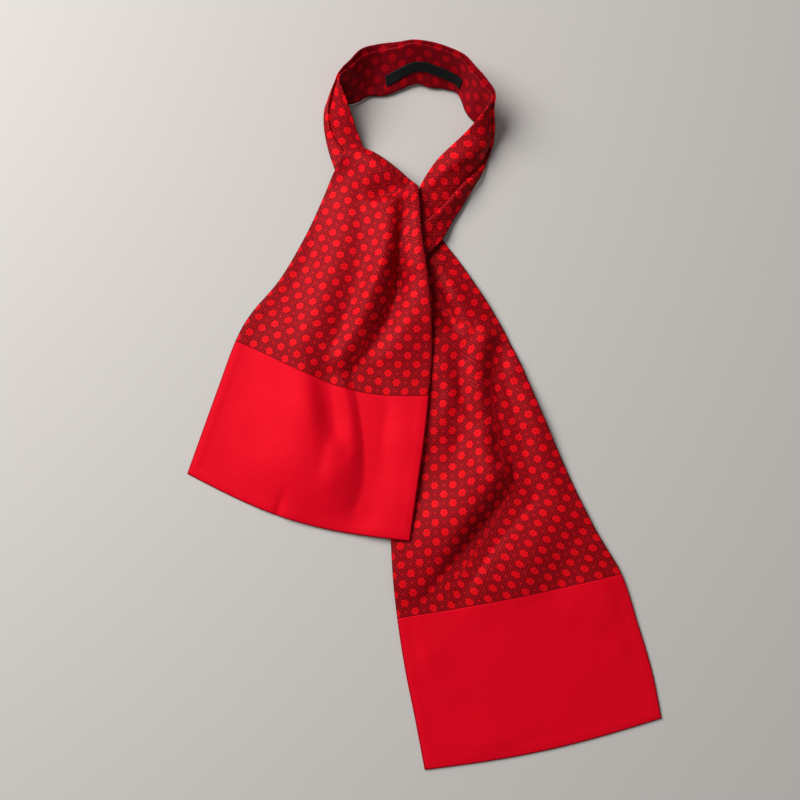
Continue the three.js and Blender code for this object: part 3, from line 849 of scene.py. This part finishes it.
# Ribbon of the label: length of a rib, size and detail of its grain, gloss and strength of the relief
RIBBON_RIB = 0.7
RIBBON_GRAIN = 0.6
RIBBON_DETAIL = 2.0
RIBBON_ROUGHNESS = (0.55, 0.8)
RIBBON_SPECULAR = 0.2
RIBBON_SHEEN = 0.03
RIBBON_STRENGTH = 0.3


def twill(cloth, across, along):
    """Height of the fine diagonal ribs of the weave, with uneven yarns."""
    rib = cloth.wave(cloth.step("ADD", across, along), TWILL)
    yarn = cloth.noise(across, along, YARN_SIZE, YARN_DETAIL)
    return cloth.step("ADD", rib, yarn)


def finish_silk(cloth, across, along, roughness):
    """Sheen, uneven gloss and weave that both kinds of silk share."""
    uneven = cloth.noise(across, along, GLOSS_SIZE, GLOSS_DETAIL)
    cloth.put(cloth.surface.inputs["Roughness"], cloth.spread(uneven, *roughness))
    cloth.put(cloth.surface.inputs["Metallic"], SILK_LUSTRE)
    cloth.put(cloth.surface.inputs["Specular IOR Level"], SILK_SPECULAR)
    cloth.put(cloth.surface.inputs["Sheen Weight"], SILK_SHEEN)
    cloth.put(cloth.surface.inputs["Sheen Roughness"], SHEEN_ROUGHNESS)
    cloth.put(cloth.surface.inputs["Sheen Tint"], SHEEN_TINT)
    cloth.bump(twill(cloth, across, along), WEAVE_STRENGTH, WEAVE_DEPTH)


def printed_silk(name, motif_red, eye_red, pin_red, line_red, ground_red):
    cloth = Look(name)
    across, along = cloth.chart()
    lattice = []
    for turn in ("ADD", "SUBTRACT"):
        shifted = cloth.step("ADD", along, ROW_SHIFT)
        lattice.append(cloth.step("DIVIDE", cloth.step(turn, across, shifted), LATTICE * math.sqrt(2)))

    def from_lattice(shift):
        """Place across and along from the nearest point of the lattice, moved by a share of it."""
        cell = []
        for value in lattice:
            part = cloth.step("FRACT", cloth.step("ADD", value, shift))
            cell.append(cloth.step("MULTIPLY", cloth.step("SUBTRACT", part, 0.5), LATTICE / math.sqrt(2)))
        return cloth.step("ADD", *cell), cloth.step("SUBTRACT", *cell)

    def length(first, second):
        squares = [cloth.step("MULTIPLY", value, value) for value in (first, second)]
        return cloth.step("SQRT", cloth.step("ADD", *squares))

    def line(value):
        """1 on fine lines that cross the cloth, 0 between them."""
        part = cloth.step("FRACT", cloth.step("DIVIDE", value, TRELLIS))
        away = cloth.step("ABSOLUTE", cloth.step("SUBTRACT", part, 0.5))
        return cloth.ramp(away, LINE_SHARE / 2 + LINE_BLUR, LINE_SHARE / 2 - LINE_BLUR)

    floret_x, floret_y = from_lattice(0)
    angle = cloth.step("ARCTAN2", floret_y, floret_x)
    lobe = cloth.step("ABSOLUTE", cloth.step("COSINE", cloth.step("MULTIPLY", angle, PETALS / 2)))
    edge = cloth.step("MULTIPLY_ADD", lobe, PETAL_REACH, PETAL_NOTCH)
    from_middle = length(floret_x, floret_y)
    from_petal = cloth.step("SUBTRACT", from_middle, edge)
    from_pin = length(*from_lattice(0.5))

    lines = cloth.step("MAXIMUM", *[line(cloth.step(turn, across, along)) for turn in ("ADD", "SUBTRACT")])
    ground = cloth.mix(lines, ground_red, line_red)
    clear = cloth.ramp(from_petal, OUTLINE - PRINT_BLUR, OUTLINE + PRINT_BLUR)
    ground = cloth.mix(clear, ground_red, ground)
    pins = cloth.ramp(from_pin, PIN_RADIUS - PRINT_BLUR, PIN_RADIUS + PRINT_BLUR)
    with_pins = cloth.mix(pins, pin_red, ground)
    florets = cloth.mix(cloth.ramp(from_petal, -PRINT_BLUR, PRINT_BLUR), motif_red, with_pins)
    eyes = cloth.ramp(from_middle, EYE_RADIUS - PRINT_BLUR, EYE_RADIUS + PRINT_BLUR)
    print_red = cloth.mix(eyes, eye_red, florets)
    # Print colour darkened along the bagged-out edge by painted shade
    cloth.put(cloth.surface.inputs["Base Color"], cloth.with_painted_shade(cloth.painted_rim_shade(RIM_PAINTED_SHADE), print_red))
    finish_silk(cloth, across, along, PRINT_ROUGHNESS)
    return cloth.material


def plain_silk():
    cloth = Look("silk_plain")
    across, along = cloth.chart()
    rib = cloth.wave(cloth.step("ADD", across, along), TWILL)
    uneven = cloth.noise(across, along, GRAIN_SIZE, GRAIN_DETAIL)
    grain = cloth.step("MULTIPLY", uneven, 1 - RIB_SHARE)
    share = cloth.step("MULTIPLY_ADD", rib, RIB_SHARE, grain)
    plain_red = cloth.mix(share, PLAIN_DEEP, PLAIN_RED)
    # Plain red darkened along the bagged-out edge by painted shade
    cloth.put(cloth.surface.inputs["Base Color"], cloth.with_painted_shade(cloth.painted_rim_shade(RIM_PAINTED_SHADE), plain_red))
    finish_silk(cloth, across, along, PLAIN_ROUGHNESS)
    return cloth.material


def label_ribbon():
    cloth = Look("label_ribbon")
    across, along = cloth.chart()
    rib = cloth.wave(along, RIBBON_RIB)
    uneven = cloth.noise(across, along, RIBBON_GRAIN, RIBBON_DETAIL)
    share = cloth.step("MULTIPLY", rib, uneven)
    cloth.put(cloth.surface.inputs["Base Color"], cloth.mix(share, RIBBON_BLACK, RIBBON_GREY))
    cloth.put(cloth.surface.inputs["Roughness"], cloth.spread(uneven, *RIBBON_ROUGHNESS))
    cloth.put(cloth.surface.inputs["Specular IOR Level"], RIBBON_SPECULAR)
    cloth.put(cloth.surface.inputs["Sheen Weight"], RIBBON_SHEEN)
    cloth.bump(cloth.step("ADD", rib, uneven), RIBBON_STRENGTH, WEAVE_DEPTH)
    return cloth.material


silk_print = printed_silk("silk_print", MOTIF_RED, MOTIF_EYE, PIN_RED, GROUND_LINE, GROUND_DARK)
silk_reverse = printed_silk(
    "silk_print_reverse", REVERSE_RED, REVERSE_EYE, REVERSE_PIN, REVERSE_LINE, REVERSE_DARK,
)
silk_plain = plain_silk()
ribbon = label_ribbon()

front = {
    "sections": FRONT_SECTIONS, "folds": FRONT_FOLDS, "creases": FRONT_CREASES, "shelf": SHELF_HEIGHT,
    "seam": FRONT_SEAM, "seed": FRONT_WAVE_SEED, "break": FRONT_BREAK,
}
rear = {
    "sections": REAR_SECTIONS, "folds": REAR_FOLDS, "creases": REAR_CREASES, "shelf": 0,
    "seam": REAR_SEAM, "seed": REAR_WAVE_SEED, "break": REAR_BREAK,
}

front_print = add_blade("front_blade_print", front, 0, FRONT_SEAM, silk_print)
front_plain = add_blade("front_blade_plain", front, FRONT_SEAM, BLADE_HEM, silk_plain)
rear_print = add_blade("rear_blade_print", rear, 0, REAR_SEAM, silk_print)
rear_plain = add_blade("rear_blade_plain", rear, REAR_SEAM, BLADE_HEM, silk_plain)
neck_inner = add_neck_ply("neck_inner_ply", 0, whole_ply, silk_print, silk_reverse)
neck_outer = add_neck_ply("neck_outer_ply", CLOTH_WALL + SEAM_GAP, outer_ply, silk_print, silk_reverse)
label = add_label("neck_label", ribbon)
core = add_core("knot_layers", silk_print)

# What each piece stands for, its finish, the flat size and area in metres of what shows of it, how it
# is held and what it rests on
PIECES = (
    (front_print, ("front_blade",), "silk_print",
     (0.152, 0.172), 0.0182, "laid", ["rear_blade", "knot_core"]),
    (front_plain, ("front_blade_end",), "silk_plain", (0.168, 0.106), 0.0170, "laid", ["rear_blade"]),
    (rear_print, ("rear_blade",), "silk_print", (0.164, 0.290), 0.0290, "laid", ["floor"]),
    (rear_plain, ("rear_blade_end",), "silk_plain", (0.172, 0.106), 0.0172, "laid", ["floor"]),
    (neck_inner, ("neck_left_inner", "neck_back_inner", "neck_right_inner"), "silk_print",
     (0.036, 0.345), 0.0115, "folded", ["floor"]),
    (neck_outer, ("neck_left_outer", "neck_back_outer", "neck_right_outer"), "silk_print",
     (0.036, 0.345), 0.0085, "folded", ["floor"]),
    (core, ("knot_core",), "silk_print", (0.032, 0.080), None, "folded", ["floor"]),
)
for piece, nodes, slot, flat, area, held, rests_on in PIECES:
    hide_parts(*nodes)
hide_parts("label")

# Plain pale floor, just under the cloth
FLOOR_HALF = 4.0
FLOOR_BELOW = 0.0002
FLOOR_DARK = colour(196, 190, 184)
FLOOR_LIGHT = colour(206, 201, 196)
FLOOR_PATCHES = 6.0
FLOOR_ROUGHNESS = 0.7
corner_signs = ((-1, -1), (1, -1), (1, 1), (-1, 1))
floor_corners = [(x * FLOOR_HALF, y * FLOOR_HALF, 0) for x, y in corner_signs]
floor_mesh = bpy.data.meshes.new("floor")
floor_mesh.from_pydata(floor_corners, [], [(0, 1, 2, 3)])
floor = bpy.data.objects.new("floor", floor_mesh)
floor.location.z = -FLOOR_BELOW
bpy.context.scene.collection.objects.link(floor)
floor_look = Look("pale_floor")
floor_noise = floor_look.tree.nodes.new("ShaderNodeTexNoise")
floor_noise.inputs["Scale"].default_value = FLOOR_PATCHES
floor_colour = floor_look.mix(floor_noise.outputs["Fac"], FLOOR_DARK, FLOOR_LIGHT)
floor_look.put(floor_look.surface.inputs["Base Color"], floor_colour)
floor_look.put(floor_look.surface.inputs["Roughness"], FLOOR_ROUGHNESS)
floor_mesh.materials.append(floor_look.material)

# Soft light: a key from the upper left, a weak fill from the right, and an even sky. Each lamp has a
# name, a place and a size in metres, and a power in watts
LIGHT_AIM = Vector((0.0, 0.0, 0.0))
SKY_STRENGTH = 0.16
SKY_COLOUR = (0.95, 0.97, 1.0, 1)
LIGHTS = (
    ("key", (-1.09, 0.73, 1.21), 1.5, 42.0),
    ("fill", (1.0, -0.3, 1.4), 1.4, 0.6),
)
for name, place, size, power in LIGHTS:
    lamp = bpy.data.lights.new(name, "AREA")
    lamp.shape = "DISK"
    lamp.size = size
    lamp.energy = power
    lamp_object = bpy.data.objects.new(name, lamp)
    lamp_object.location = place
    lamp_object.rotation_euler = (LIGHT_AIM - Vector(place)).to_track_quat("-Z", "Y").to_euler()
    bpy.context.scene.collection.objects.link(lamp_object)
sky = bpy.data.worlds.new("sky")
sky.use_nodes = True
sky.node_tree.nodes["Background"].inputs["Color"].default_value = SKY_COLOUR
sky.node_tree.nodes["Background"].inputs["Strength"].default_value = SKY_STRENGTH
bpy.context.scene.world = sky
bpy.context.scene.view_settings.view_transform = "Standard"

# Camera at the photograph's angle, a little forward of straight down
CAMERA_PLACE = (-0.0145, -0.102, 0.720)
CAMERA_TILT = 7.8
CAMERA_LENS = 45
camera_data = bpy.data.cameras.new("camera")
camera_data.lens = CAMERA_LENS
camera = bpy.data.objects.new("camera", camera_data)
camera.location = CAMERA_PLACE
camera.rotation_euler = (math.radians(CAMERA_TILT), 0, 0)
bpy.context.scene.collection.objects.link(camera)
bpy.context.scene.camera = camera

bpy.context.view_layer.update()
